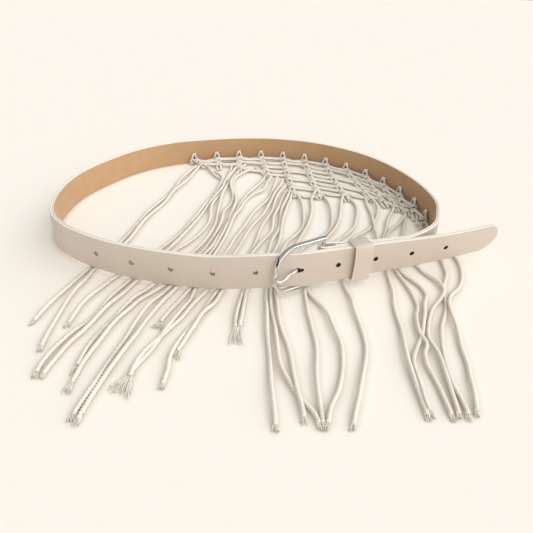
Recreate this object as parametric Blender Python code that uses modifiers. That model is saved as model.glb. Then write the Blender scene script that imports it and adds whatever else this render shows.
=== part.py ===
# A buckled leather belt standing on its edge, with a knotted cord net and
# loose cords that hang from its inner face and lie on the floor.
# The scene is in metres with +Z up. Sizes below are in millimetres.
import math

import bpy
import numpy as np
from mathutils import Vector

for old in list(bpy.data.objects):
    bpy.data.objects.remove(old, do_unlink=True)

MM = 0.001

# The loop and the strap it is made from.
LOOP_WIDTH = 312.0
LOOP_DEPTH = 244.0
BELT_WIDTH = 25.0
LEATHER = 1.8
LINING = 1.0
SKIN_GAP = 0.3
LAYER_GAP = 0.5
STEP = 10.0
TIP_ROUND = 14.0
TIP_NOSE = 0.5
TIP_UPPER_SHARE = 0.85
TIP_FLAT = 2.4

# Holes along the strap.
SIZE_HOLE = 3.6
SIZE_HOLE_FIRST = 47.3
SIZE_HOLE_PITCH = 28.05
SIZE_HOLES = 10
PRONG_HOLE = 4
PRONG_HOLE_STRETCH = 2.6
MOUNT_HOLE = 4.2
MOUNT_HOLE_HEIGHT = 10.0
MOUNT_HOLE_PITCH = 24.6
MOUNT_HOLES = 13

# Cord, buckle and keeper.
CORD = 3.0
FLOOR_GAP = 0.3
BAND = 2.6
BAND_DEPTH = 3.6
BAR = 2.8
BAR_BEHIND_HOLE = 19.5
BAR_OVERRUN = 1.6
FRAME_REACH = 35.2
FRAME_INNER = 29.0
FRAME_TOP_CORNER = 17.0
FRAME_LOW_CORNER = 9.0
FRAME_SET_BACK = 0.03
FRAME_REST = 0.1
FRAME_CLEAR = 0.5
CURVE_CLEAR = 3.3
BAR_GAP = 0.4
FOLD_RETURN = 17.0
LINING_SHORT = 8.0
PRONG = 2.2
PRONG_WIDTH = 2.6
PRONG_DROP = 2.6
PRONG_OVERRUN = 0.6
PRONG_RING_CLEAR = 0.35
PRONG_RING_WALL = 1.1
PRONG_SLOT_CLEAR = 0.8
KEEPER_WALL = 1.8
KEEPER_WIDTH = 13.0
KEEPER_STAND_OFF = 2.0
KEEPER_FROM_BAR = 18.2
KEEPER_CLEAR = 0.6
KEEPER_CORNER = 1.2
LAP_FROM = 76.8

# Net and head cord.
NET_THICK = 2.4
GAP_PITCH = 10.0
GAP_HALF_HEIGHT = 2.7
KNOT_WIDTH = 6.6

# The strap's outer face in plan, from the tip round the loop to the right
# bend. Across and deep are shares of half the loop's width and depth, rest
# is 0 on the floor, 1 over the cords and 2 over the buckle's lower arm, and
# lean is how far the top edge leans out, in millimetres.
OUTLINE = (
    # place, across, deep, rest, lean
    ("tip end", 1.196, -0.519, 2.00, 6.2),
    ("tip", 1.067, -0.594, 2.00, 6.2),
    ("tip", 0.929, -0.670, 2.00, 5.8),
    ("beyond keeper", 0.788, -0.739, 2.00, 4.6),
    ("keeper", 0.609, -0.820, 2.00, 2.8),
    ("size hole", 0.429, -0.906, 2.00, 0.8),
    ("prong hole", 0.256, -0.975, 2.00, 0.0),
    ("frame", 0.109, -1.003, 2.00, 0.0),
    ("front", -0.115, -0.995, 1.00, 0.0),
    ("front", -0.301, -0.968, 1.00, 0.0),
    ("front", -0.481, -0.916, 1.00, 0.0),
    ("front left", -0.647, -0.839, 1.00, 0.0),
    ("front left", -0.814, -0.707, 0.80, 0.0),
    ("left bend", -0.936, -0.526, 0.20, 0.0),
    ("left", -0.990, -0.320, 0.00, 0.0),
    ("left", -1.001, -0.107, 0.00, 0.0),
    ("left", -0.978, 0.090, 0.00, 0.0),
    ("back left", -0.910, 0.295, 0.00, 0.0),
    ("back left", -0.750, 0.602, 0.00, 0.0),
    ("back", -0.545, 0.806, 0.00, 0.0),
    ("back", -0.301, 0.923, 0.00, 0.0),
    ("back", -0.032, 0.995, 0.00, 0.0),
    ("back", 0.192, 0.995, 0.00, 0.0),
    ("back", 0.417, 0.928, 0.00, 0.0),
    ("back right", 0.628, 0.783, 0.00, 0.0),
    ("back right", 0.788, 0.594, 0.00, 0.0),
    ("right", 0.917, 0.324, 0.00, 0.0),
    ("right", 0.990, 0.041, 0.00, 0.0),
    ("right", 1.002, -0.189, 0.25, 0.0),
    ("right bend", 0.958, -0.391, 1.20, 0.6),
    ("right bend", 0.883, -0.590, 1.90, 2.0),
)

# Where each column of the net ends, one row per mount hole.
NET_FOOT = (
    # across, deep
    (-0.327, 0.738),
    (-0.224, 0.713),
    (-0.083, 0.672),
    (0.103, 0.582),
    (0.263, 0.230),
    (0.410, 0.205),
    (0.571, 0.189),
    (0.724, 0.180),
    (0.788, 0.107),
    (0.846, 0.041),
    (0.891, -0.025),
    (0.923, -0.090),
    (0.949, -0.164),
)

# The cords in pairs: where a pair leaves the net, half way to the strap,
# under the strap, half way on and at the end, with how far apart the two
# cords are by then.
PAIRS = (
    # out across, out deep, mid, under, bow, end across, end deep,
    # apart under, apart at bow, apart at end across, apart at end deep
    (-0.353, 0.762, -0.481, -0.673, -0.718, -0.747, -1.402, 0.032, 0.051, 0.096, -0.164),
    (-0.276, 0.697, -0.224, -0.519, -0.596, -0.660, -1.484, 0.051, 0.019, -0.026, -0.303),
    (-0.141, 0.664, -0.135, -0.429, -0.513, -0.596, -1.648, 0.058, 0.064, 0.109, -0.090),
    (0.006, 0.648, -0.045, -0.356, -0.455, -0.513, -1.730, 0.029, 0.032, 0.064, -0.246),
    (0.115, 0.582, 0.045, -0.295, -0.372, -0.423, -1.746, 0.029, 0.038, 0.077, 0.230),
    (0.186, 0.484, 0.115, -0.186, -0.269, -0.314, -1.516, 0.032, 0.026, 0.026, 0.377),
    (0.224, 0.369, 0.154, -0.096, -0.173, -0.224, -1.566, 0.032, 0.019, 0.006, -0.164),
    (0.263, 0.238, 0.205, 0.064, 0.058, 0.067, -1.623, 0.103, 0.128, 0.160, -0.451),
    (0.397, 0.213, 0.314, 0.147, 0.173, 0.263, -1.824, 0.026, 0.032, 0.051, -0.025),
    (0.558, 0.197, 0.481, 0.276, 0.340, 0.298, -1.836, 0.026, 0.103, 0.026, -0.008),
    (0.718, 0.189, 0.635, 0.545, 0.564, 0.506, -1.820, 0.205, 0.167, 0.244, 0.041),
    (0.814, 0.090, 0.763, 0.763, 0.737, 0.715, -1.791, 0.090, 0.077, 0.026, 0.008),
    (0.910, -0.041, 0.865, 0.904, 0.846, 0.696, -1.783, 0.096, 0.103, 0.135, -0.008),
)

CORD_LIFT = CORD + FLOOR_GAP
FRAME_LIFT = CORD_LIFT + BAND + FRAME_CLEAR
SKIN = LEATHER + SKIN_GAP + LINING
SECOND_LAYER = SKIN + LAYER_GAP
FOLD_RADIUS = LEATHER + 0.5 * BAR + BAR_GAP
BAR_AT = SIZE_HOLE_FIRST + PRONG_HOLE * SIZE_HOLE_PITCH - BAR_BEHIND_HOLE
BAR_OFFSET = SECOND_LAYER + FOLD_RADIUS
RETURN_LAYER = SECOND_LAYER + 2.0 * FOLD_RADIUS
CURVE_OFFSET = -(0.5 * BAND_DEPTH + CURVE_CLEAR)
MID_HEIGHT = 0.5 * BELT_WIDTH


# Collections and materials.
def new_collection(name):
    made = bpy.data.collections.new(name)
    bpy.context.scene.collection.children.link(made)
    return made


partCollection = new_collection("belt_with_cord_net")
cutterCollection = new_collection("cutters")
fringeCollection = new_collection("fringe_cutters")
slotCollection = new_collection("slot_cutters")


def material(name, colour, roughness, metallic=0.0):
    made = bpy.data.materials.new(name)
    made.use_nodes = True
    shader = made.node_tree.nodes["Principled BSDF"]
    shader.inputs["Base Color"].default_value = (*colour, 1.0)
    shader.inputs["Roughness"].default_value = roughness
    shader.inputs["Metallic"].default_value = metallic
    return made


outerLeather = material("outer_leather", (0.62, 0.55, 0.48), 0.5)
tanLining = material("tan_lining", (0.60, 0.37, 0.20), 0.7)
polishedMetal = material("polished_metal", (0.75, 0.76, 0.78), 0.15, 1.0)
prongMetal = material("prong_metal", (0.75, 0.76, 0.78), 0.15, 1.0)
keeperLeather = material("keeper_leather", (0.64, 0.57, 0.50), 0.5)
cottonCord = material("cotton_cord", (0.86, 0.82, 0.75), 0.9)


def outward(verts, faces):
    """The faces wound so that a closed body's normals point out."""
    volume = 0.0
    for face in faces:
        first = np.array(verts[face[0]])
        for b, c in zip(face[1:], face[2:]):
            volume += float(np.dot(first, np.cross(verts[b], verts[c])))
    return [face[::-1] for face in faces] if volume < 0.0 else faces


def mesh_object(name, verts, faces, where, surface=None, closed=True):
    if closed:
        faces = outward(verts, faces)
    mesh = bpy.data.meshes.new(name)
    mesh.from_pydata([tuple(c * MM for c in v) for v in verts], [], faces)
    mesh.update()
    made = bpy.data.objects.new(name, mesh)
    where.objects.link(made)
    if surface is not None:
        mesh.materials.append(surface)
    if where is not partCollection:
        made.hide_render = True
        made.display_type = "WIRE"
    return made


def boolean(target, other, operation, label, self_crossing=False):
    cut = target.modifiers.new(label, "BOOLEAN")
    cut.operation = operation
    cut.solver = "EXACT"
    cut.use_self = self_crossing
    if isinstance(other, bpy.types.Collection):
        cut.operand_type = "COLLECTION"
        cut.collection = other
    else:
        cut.object = other
    return cut


# Plan curves.
def smooth(rows, step):
    """Points about step apart on a curve through the rows' first two columns."""
    rows = np.array(rows, float)
    padded = np.vstack([2 * rows[0] - rows[1], rows, 2 * rows[-1] - rows[-2]])
    out = []
    for k in range(1, len(padded) - 2):
        p0, p1, p2, p3 = padded[k - 1:k + 3]
        t1 = math.sqrt(np.linalg.norm((p1 - p0)[:2]))
        t2 = t1 + math.sqrt(np.linalg.norm((p2 - p1)[:2]))
        t3 = t2 + math.sqrt(np.linalg.norm((p3 - p2)[:2]))
        count = max(2, int(round(np.linalg.norm((p2 - p1)[:2]) / step)))
        for t in np.linspace(t1, t2, count, endpoint=False):
            a1 = (t1 - t) / t1 * p0 + t / t1 * p1
            a2 = (t2 - t) / (t2 - t1) * p1 + (t - t1) / (t2 - t1) * p2
            a3 = (t3 - t) / (t3 - t2) * p2 + (t - t2) / (t3 - t2) * p3
            b1 = (t2 - t) / t2 * a1 + t / t2 * a2
            b2 = (t3 - t) / (t3 - t1) * a2 + (t - t1) / (t3 - t1) * a3
            out.append((t2 - t) / (t2 - t1) * b1 + (t - t1) / (t2 - t1) * b2)
    out.append(rows[-1])
    return np.array(out)


class Path:
    """A plan curve read by distance, with its inward side on the right."""

    def __init__(self, rows):
        self.rows = rows
        steps = np.linalg.norm(np.diff(rows[:, :2], axis=0), axis=1)
        self.at = np.concatenate([[0.0], np.cumsum(steps)])
        self.length = self.at[-1]

    def read(self, distance, column):
        return float(np.interp(distance, self.at, self.rows[:, column]))

    def point(self, distance):
        return np.array([self.read(distance, 0), self.read(distance, 1)])

    def heading(self, distance):
        ahead = self.point(min(distance + 0.6, self.length))
        behind = self.point(max(distance - 0.6, 0.0))
        way = ahead - behind
        return way / np.linalg.norm(way)

    def inward(self, distance):
        way = self.heading(distance)
        return np.array([way[1], -way[0]])

    def offset(self, distance, depth):
        return self.point(distance) + depth * self.inward(distance)

    def nearest(self, place):
        gaps = np.linalg.norm(self.rows[:, :2] - np.array(place), axis=1)
        return float(self.at[int(np.argmin(gaps))])


def plan(across, deep):
    return np.array([across * 0.5 * LOOP_WIDTH, deep * 0.5 * LOOP_DEPTH])


def lift_for(rest):
    return float(np.interp(rest, (0.0, 1.0, 2.0), (0.0, CORD_LIFT, FRAME_LIFT)))


outlineRows = [(*plan(across, deep), lift_for(rest), lean)
               for place, across, deep, rest, lean in OUTLINE]
roundLoop = Path(smooth(outlineRows, 1.5))

# The buckle end runs back behind the tip, folds round the bar and returns.
lapRows = []
for distance in np.linspace(LAP_FROM, BAR_AT, 7):
    spot = roundLoop.offset(distance, SECOND_LAYER)
    lapRows.append((*spot, roundLoop.read(distance, 2), roundLoop.read(distance, 3)))
dense = smooth(outlineRows + lapRows, 1.5)

barSpot = roundLoop.offset(BAR_AT, BAR_OFFSET)
barHeading = roundLoop.heading(BAR_AT)
barInward = roundLoop.inward(BAR_AT)
foldRows = []
for turn in np.linspace(0.0, math.pi, 17)[1:-1]:
    spot = barSpot + FOLD_RADIUS * (math.sin(turn) * barHeading - math.cos(turn) * barInward)
    foldRows.append((*spot, FRAME_LIFT, 0.0))
returnRows = []
for distance in np.linspace(BAR_AT, BAR_AT - FOLD_RETURN, 9):
    spot = roundLoop.offset(distance, RETURN_LAYER)
    returnRows.append((*spot, roundLoop.read(distance, 2), roundLoop.read(distance, 3)))
belt = Path(np.vstack([dense, foldRows, returnRows]))
foldAt = Path(dense).length
returnAt = foldAt + math.pi * FOLD_RADIUS

sizeHoleAt = [SIZE_HOLE_FIRST + k * SIZE_HOLE_PITCH for k in range(SIZE_HOLES)]
firstMount = belt.nearest(plan(-0.413, 0.877))
mountAt = [firstMount + k * MOUNT_HOLE_PITCH for k in range(MOUNT_HOLES)]


# Strap and lining.
def stations(end):
    """Distances along the strap, closer at the tip, the holes and the fold."""
    fixed = [0.0, 0.8, 2.5, 5.5, 9.5, TIP_ROUND]
    for k, hole in enumerate(sizeHoleAt):
        reach = 6.0 if k == PRONG_HOLE else 4.0
        fixed += [hole - reach, hole + reach]
    for hole in mountAt:
        fixed += [hole - 4.0, hole + 4.0]
    fixed += [k for k in np.linspace(foldAt, returnAt, 8)]
    fixed = sorted(d for d in fixed + [end] if d <= end)
    out = [fixed[0]]
    for here, there in zip(fixed, fixed[1:]):
        if there - here < 0.05:
            continue
        parts = max(1, int(math.ceil((there - here) / STEP - 0.2)))
        out += [here + (there - here) * k / parts for k in range(1, parts + 1)]
    return out


def edge_heights(distance):
    """Lower and upper edge of the strap above its own rest, rounded at the tip."""
    if distance >= TIP_ROUND:
        return 0.0, BELT_WIDTH
    nose = TIP_NOSE * BELT_WIDTH
    low_share = 1.0 - distance / TIP_ROUND
    high_share = max(0.0, 1.0 - distance / (TIP_UPPER_SHARE * TIP_ROUND))
    low = nose - nose * math.sqrt(max(0.0, 1.0 - low_share ** 2))
    high = nose + (BELT_WIDTH - nose) * math.sqrt(max(0.0, 1.0 - high_share ** 2))
    return min(low, nose - 0.5 * TIP_FLAT), max(high, nose + 0.5 * TIP_FLAT)


def skin(name, near, end, thickness, surface):
    """A ribbon along the belt from the tip to end, thickened inward from near."""
    verts = []
    for distance in stations(end):
        spot = belt.offset(distance, near)
        inward = belt.inward(distance)
        lift = belt.read(distance, 2)
        lean = belt.read(distance, 3) / BELT_WIDTH
        for height in edge_heights(distance):
            verts.append((*(spot - inward * lean * height), lift + height))
    faces = [(k, k + 2, k + 3, k + 1) for k in range(0, len(verts) - 2, 2)]
    made = mesh_object(name, verts, faces, partCollection, surface, closed=False)
    wall = made.modifiers.new("thickness", "SOLIDIFY")
    wall.thickness = thickness * MM
    wall.offset = 1.0
    wall.use_even_offset = True
    return made


def prism(name, outline, low, high, frame, where):
    """An outline in the frame's first two directions, from low to high in its third."""
    origin, first, second, third = frame
    verts = []
    for level in (low, high):
        for a, b in outline:
            verts.append(tuple(origin + a * first + b * second + level * third))
    count = len(outline)
    faces = [tuple(range(count))[::-1], tuple(range(count, 2 * count))]
    faces += [(k, (k + 1) % count, count + (k + 1) % count, count + k) for k in range(count)]
    return mesh_object(name, verts, faces, where)


def strap_frame(distance, height):
    """Origin and directions on the strap: along, up and inward."""
    inward = belt.inward(distance)
    lean = belt.read(distance, 3) / BELT_WIDTH
    spot = belt.point(distance) - inward * lean * height
    origin = np.array([*spot, belt.read(distance, 2) + height])
    along = np.array([*belt.heading(distance), 0.0])
    up = np.array([*(-inward * lean), 1.0])
    return origin, along, up / np.linalg.norm(up), np.array([*inward, 0.0])


def ring(radius, sides, stretch=0.0, turn=0.0):
    out = []
    for k in range(sides):
        angle = 2.0 * math.pi * (k + turn) / sides
        shift = stretch if math.cos(angle) > 0.0 else -stretch
        out.append((radius * math.cos(angle) + shift, radius * math.sin(angle)))
    return out


strap = skin("strap", 0.0, belt.length, LEATHER, outerLeather)
lining = skin("lining", LEATHER + SKIN_GAP, foldAt - LINING_SHORT, LINING, tanLining)

holeCutters = []
for k, distance in enumerate(sizeHoleAt):
    stretch = PRONG_HOLE_STRETCH if k == PRONG_HOLE else 0.0
    outline = ring(0.5 * SIZE_HOLE, 10, stretch, 0.5)
    frame = strap_frame(distance, MID_HEIGHT)
    holeCutters.append(prism(f"size_hole_{k + 1}", outline, -1.5, SKIN + 0.5 * LAYER_GAP,
                             frame, cutterCollection))
for k, distance in enumerate(mountAt):
    frame = strap_frame(distance, MOUNT_HOLE_HEIGHT)
    holeCutters.append(prism(f"mount_hole_{k + 1}", ring(0.5 * MOUNT_HOLE, 8, 0.0, 0.5),
                             -1.5, SKIN + 1.5, frame, cutterCollection))
boolean(strap, cutterCollection, "DIFFERENCE", "holes")
boolean(lining, cutterCollection, "DIFFERENCE", "holes")

# Slot in the fold where the prong turns on the bar.
barHeight = FRAME_LIFT + MID_HEIGHT
barFrame = (np.array([*barSpot, barHeight]), np.array([*barHeading, 0.0]),
            np.array([0.0, 0.0, 1.0]), np.array([*barInward, 0.0]))
slotHalf = 0.5 * PRONG_WIDTH + PRONG_SLOT_CLEAR
slotOutline = [(-4.2, -slotHalf), (7.0, -slotHalf), (7.0, slotHalf), (-4.2, slotHalf)]
slotCutter = prism("prong_slot", slotOutline, SKIN + 0.15 - BAR_OFFSET, 5.0, barFrame,
                   slotCollection)
boolean(strap, slotCutter, "DIFFERENCE", "slot")


# Swept bars.
def sweep(name, points, ups, section, where, surface=None):
    """A closed bar along points, its section given along side and up directions."""
    points = [np.array(p, float) for p in points]
    verts = []
    for k, spot in enumerate(points):
        ahead = points[min(k + 1, len(points) - 1)]
        behind = points[max(k - 1, 0)]
        way = ahead - behind
        way = way / np.linalg.norm(way)
        side = np.cross(way, ups[k] if isinstance(ups, list) else ups)
        side = side / np.linalg.norm(side)
        up = np.cross(side, way)
        stretch = 1.0
        if 0 < k < len(points) - 1:
            leg = (points[k] - behind) / np.linalg.norm(points[k] - behind)
            stretch = 1.0 / max(0.5, float(np.dot(leg, way)))
        for a, b in section:
            verts.append(tuple(spot + a * stretch * side + b * up))
    count = len(section)
    last = (len(points) - 1) * count
    faces = [tuple(range(count))[::-1], tuple(range(last, last + count))]
    for k in range(len(points) - 1):
        for j in range(count):
            a = k * count + j
            b = k * count + (j + 1) % count
            faces.append((a, b, b + count, a + count))
    made = mesh_object(name, verts, faces, where, surface)
    return made


# Buckle frame: a D shaped band with its curve in front of the strap.
curveSpot = roundLoop.offset(BAR_AT + FRAME_REACH, CURVE_OFFSET)
frameAlong = curveSpot - barSpot
frameLength = float(np.linalg.norm(frameAlong))
frameAlong = frameAlong / frameLength
frameFacing = np.array([-frameAlong[1], frameAlong[0]])
if np.dot(frameFacing, barInward) > 0.0:
    frameFacing = -frameFacing
armLow = CORD_LIFT + 0.5 * BAND + FRAME_REST
armHigh = armLow + FRAME_INNER + BAND
bandLine = [(-BAR_OVERRUN, armLow)]
for turn in np.linspace(0.0, 0.5 * math.pi, 6):
    bandLine.append((frameLength - FRAME_LOW_CORNER * (1.0 - math.sin(turn)),
                     armLow + FRAME_LOW_CORNER * (1.0 - math.cos(turn))))
for turn in np.linspace(0.0, 0.5 * math.pi, 8):
    bandLine.append((frameLength - FRAME_TOP_CORNER * (1.0 - math.cos(turn)),
                     armHigh - FRAME_TOP_CORNER * (1.0 - math.sin(turn))))
bandLine.append((-BAR_OVERRUN, armHigh))
bandPoints = []
for along, height in bandLine:
    set_back = FRAME_SET_BACK * (height - armLow) * along / frameLength
    spot = barSpot + along * frameAlong - set_back * frameFacing
    bandPoints.append((*spot, height))
bandSection = [(-0.5 * BAND, -0.5 * BAND_DEPTH), (0.5 * BAND, -0.5 * BAND_DEPTH),
               (0.5 * BAND, 0.5 * BAND_DEPTH), (-0.5 * BAND, 0.5 * BAND_DEPTH)]
buckleFrame = sweep("buckle_frame", bandPoints, np.array([*frameFacing, 0.0]), bandSection,
                    partCollection, polishedMetal)
barCutter = prism("bar_piece", ring(0.5 * BAR, 10), armLow - 0.3, armHigh + 0.3,
                  (np.array([*barSpot, 0.0]), np.array([1.0, 0.0, 0.0]),
                   np.array([0.0, 1.0, 0.0]), np.array([0.0, 0.0, 1.0])), slotCollection)
boolean(buckleFrame, barCutter, "UNION", "bar")

# Prong: a ring round the bar and a shaft through the strap onto the curve.
ringInner = 0.5 * BAR + PRONG_RING_CLEAR
ringOuter = ringInner + PRONG_RING_WALL
prongFrame = (np.array([*barSpot, barHeight]), np.array([*barHeading, 0.0]),
              np.array([*barInward, 0.0]), np.array([0.0, 0.0, 1.0]))
curveFront = CURVE_OFFSET - 0.5 * BAND_DEPTH - 0.35 - 0.5 * PRONG
shaftFront = FRAME_REACH - BAR_BEHIND_HOLE
prongLine = (
    # along from the bar, depth, share of the drop
    (BAR - 0.9, BAR_OFFSET - 0.6, 0.0),
    (BAR + 3.2, BAR_OFFSET - 1.3, 0.0),
    (BAR_BEHIND_HOLE - 3.3, SKIN + 0.5 * PRONG + 0.5, 0.0),
    (BAR_BEHIND_HOLE + 3.1, -0.5 * PRONG - 0.8, 0.0),
    (BAR_BEHIND_HOLE + 0.45 * shaftFront, -0.5 * PRONG - 2.8, 0.35),
    (BAR_BEHIND_HOLE + 0.72 * shaftFront, curveFront + 0.25, 0.75),
    (FRAME_REACH + PRONG_OVERRUN, curveFront, 1.0),
)
prongPoints = []
for along, depth, drop in prongLine:
    spot = roundLoop.offset(BAR_AT + along, depth)
    if along < 7.0:
        spot = barSpot + along * barHeading + (depth - BAR_OFFSET) * barInward
    prongPoints.append((*spot, barHeight - PRONG_DROP * drop))
prongSection = [(-0.5 * PRONG, -0.5 * PRONG_WIDTH), (0.5 * PRONG, -0.5 * PRONG_WIDTH),
                (0.5 * PRONG, 0.5 * PRONG_WIDTH), (-0.5 * PRONG, 0.5 * PRONG_WIDTH)]
prong = sweep("prong", prongPoints, np.array([0.0, 0.0, 1.0]), prongSection,
              partCollection, prongMetal)
collar = prism("prong_collar", ring(ringOuter, 14), -0.5 * PRONG_WIDTH - 0.02,
               0.5 * PRONG_WIDTH + 0.02, prongFrame, slotCollection)
eye = prism("prong_eye", ring(ringInner, 14, 0.0, 0.5), -PRONG_WIDTH, PRONG_WIDTH, prongFrame,
            slotCollection)
boolean(prong, collar, "UNION", "collar")
boolean(prong, eye, "DIFFERENCE", "eye")


# Keeper: a leather ring round both layers.
def rounded_box(low_a, high_a, low_b, high_b, radius):
    out = []
    corners = ((high_a - radius, high_b - radius, 0), (low_a + radius, high_b - radius, 1),
               (low_a + radius, low_b + radius, 2), (high_a - radius, low_b + radius, 3))
    for a, b, quarter in corners:
        for k in range(4):
            turn = 0.5 * math.pi * (quarter + k / 3)
            out.append((a + radius * math.cos(turn), b + radius * math.sin(turn)))
    return out


keeperAt = BAR_AT - 0.5 * KEEPER_WIDTH - KEEPER_FROM_BAR
keeperOrigin, keeperAlong, keeperUp, keeperInward = strap_frame(keeperAt, MID_HEIGHT)
keeperFrame = (keeperOrigin, keeperInward, keeperUp, keeperAlong)
halfInner = MID_HEIGHT + KEEPER_CLEAR
backInner = SECOND_LAYER + SKIN + KEEPER_CLEAR
innerOutline = rounded_box(-KEEPER_STAND_OFF, backInner, -halfInner, halfInner,
                           KEEPER_CORNER)
outerOutline = rounded_box(-KEEPER_STAND_OFF - KEEPER_WALL, backInner + KEEPER_WALL,
                           -halfInner - KEEPER_WALL, halfInner + KEEPER_WALL,
                           KEEPER_CORNER + KEEPER_WALL)
keeper = prism("keeper", outerOutline, -0.5 * KEEPER_WIDTH, 0.5 * KEEPER_WIDTH, keeperFrame,
               partCollection)
keeper.data.materials.append(keeperLeather)
keeperHole = prism("keeper_hole", innerOutline, -KEEPER_WIDTH, KEEPER_WIDTH, keeperFrame,
                   slotCollection)
boolean(keeper, keeperHole, "DIFFERENCE", "hole")

# Fringe: the net plate, its head cord, the mount loops and the cords.
WALL_CLEAR = SKIN + 0.5
headLine = []
for distance in np.arange(mountAt[0] - 6.0, mountAt[-1] + 6.5, 9.0):
    headLine.append(belt.offset(distance, WALL_CLEAR + 1.6))
mountTop = [belt.offset(distance, WALL_CLEAR + 1.6) for distance in mountAt]
footSpots = [plan(across, deep) for across, deep in NET_FOOT]
plateOutline = [tuple(p) for p in headLine] + [tuple(p) for p in reversed(footSpots)]
upright = (np.zeros(3), np.array([1.0, 0.0, 0.0]), np.array([0.0, 1.0, 0.0]),
           np.array([0.0, 0.0, 1.0]))
fringe = prism("fringe", plateOutline, 0.35, 0.35 + NET_THICK, upright, partCollection)
fringe.data.materials.append(cottonCord)

gapVerts = []
gapFaces = []
for k in range(len(mountTop) - 1):
    lengths = [np.linalg.norm(footSpots[k + j] - mountTop[k + j]) for j in (0, 1)]
    rows = max(1, int(min(lengths) / GAP_PITCH - 0.35))
    for row in range(rows):
        share = (row + 0.85) * GAP_PITCH
        ends = []
        for j in (0, 1):
            way = (footSpots[k + j] - mountTop[k + j]) / lengths[j]
            reach = share * lengths[j] / min(lengths) if rows < 3 else share
            if k == 3 and j == 1:
                reach = share * 0.9
            ends.append(mountTop[k + j] + way * reach)
        across = ends[1] - ends[0]
        half = 0.5 * float(np.linalg.norm(across)) - 0.5 * KNOT_WIDTH
        if half < 2.0:
            continue
        across = across / np.linalg.norm(across)
        up = np.array([-across[1], across[0]])
        centre = 0.5 * (ends[0] + ends[1])
        base = len(gapVerts)
        lens = [(-1.0, 0.2), (-0.5, -0.7), (0.5, -0.7), (1.0, 0.2), (0.5, 0.9), (-0.5, 0.9)]
        for level in (-1.0, 6.0):
            for a, b in lens:
                spot = centre + a * half * across + b * GAP_HALF_HEIGHT * up
                gapVerts.append((*spot, level))
        gapFaces.append(tuple(base + j for j in range(5, -1, -1)))
        gapFaces.append(tuple(base + 6 + j for j in range(6)))
        for j in range(6):
            gapFaces.append((base + j, base + (j + 1) % 6, base + 6 + (j + 1) % 6,
                             base + 6 + j))
netGaps = mesh_object("net_gaps", gapVerts, gapFaces, slotCollection)
boolean(fringe, netGaps, "DIFFERENCE", "gaps", True)

UP = np.array([0.0, 0.0, 1.0])
headPoints = [(*belt.offset(d, WALL_CLEAR + 1.7), 3.1)
              for d in np.arange(mountAt[0] - 4.0, mountAt[-1] + 5.0, 8.2)]
sweep("head_cord", headPoints, UP, ring(1.7, 6, 0.0, 0.5), fringeCollection)
for k, distance in enumerate(mountAt):
    lift = belt.read(distance, 2)
    loop = [(*belt.offset(distance - 4.2, WALL_CLEAR + 2.2), 2.9),
            (*belt.offset(distance, WALL_CLEAR + 1.3), lift + MOUNT_HOLE_HEIGHT + 0.4),
            (*belt.offset(distance + 4.2, WALL_CLEAR + 2.2), 2.9)]
    facing = np.array([*belt.inward(distance), 0.0])
    sweep(f"mount_loop_{k + 1}", loop, facing, ring(1.25, 6), fringeCollection)
    peg = [(*belt.offset(distance, 0.2), lift + MOUNT_HOLE_HEIGHT),
           (*belt.offset(distance, WALL_CLEAR + 1.5), lift + MOUNT_HOLE_HEIGHT)]
    sweep(f"mount_peg_{k + 1}", peg, UP, ring(1.2, 6, 0.0, 0.25), fringeCollection)


def strand_line(row, side):
    """Rows of a cord's plan curve, side being the left or right cord of a pair."""
    (out_a, out_d, mid, under, bow, end_a, end_d, gap_under, gap_bow, gap_a, gap_d) = row
    start = plan(out_a, out_d)
    front = plan(under + 0.5 * side * gap_under, 0.0)
    candidates = roundLoop.rows[roundLoop.at < 470.0]
    front[1] = float(np.interp(front[0], candidates[::-1, 0], candidates[::-1, 1]))
    end = plan(end_a + 0.5 * side * gap_a, end_d + 0.5 * side * gap_d)
    inside = start + np.array([0.0, 9.0])
    middle = np.array([mid * 0.5 * LOOP_WIDTH + 2.2 * side, 0.5 * (start[1] + front[1])])
    bowed = np.array([(bow + 0.5 * side * gap_bow) * 0.5 * LOOP_WIDTH,
                      0.5 * (front[1] + end[1])])
    return [inside + np.array([1.6 * side, 0.0]), start + np.array([1.6 * side, 0.0]),
            middle, front, bowed, end]


count = 0
for row in PAIRS:
    for side in (-1.0, 1.0):
        rows = np.array(strand_line(row, side))
        curve = Path(smooth(rows, 4.0))
        total = curve.length
        number = max(6, int(total / 27.0))
        marks = np.linspace(0.0, total, number + 1)
        height = 0.5 * CORD + 0.03 * (count % 4)
        line = [(*curve.point(mark), height) for mark in marks]
        sweep(f"cord_{count + 1}", line, UP, ring(0.5 * CORD - 0.05, 5, 0.0, 0.25),
              fringeCollection)
        count += 1
boolean(fringe, fringeCollection, "UNION", "cords", True)

# Set the whole belt on the floor with its middle over the origin.
bpy.context.view_layer.update()
corners = []
graph = bpy.context.evaluated_depsgraph_get()
for item in partCollection.objects:
    shown = item.evaluated_get(graph).to_mesh()
    corners += [tuple(v.co) for v in shown.vertices]
corners = np.array(corners)
low = corners.min(axis=0)
high = corners.max(axis=0)
shift = Vector((-0.5 * (low[0] + high[0]), -0.5 * (low[1] + high[1]), -low[2]))
print("shift in millimetres", [round(c / MM, 3) for c in shift])
print("size in millimetres", [round(c / MM, 2) for c in high - low])
for item in list(bpy.data.objects):
    for vertex in item.data.vertices:
        vertex.co += shift
for each in (cutterCollection, fringeCollection, slotCollection):
    each.hide_render = True
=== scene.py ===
import bpy
import bmesh
import math
import random
import numpy as np
from mathutils import Matrix, Vector


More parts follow.
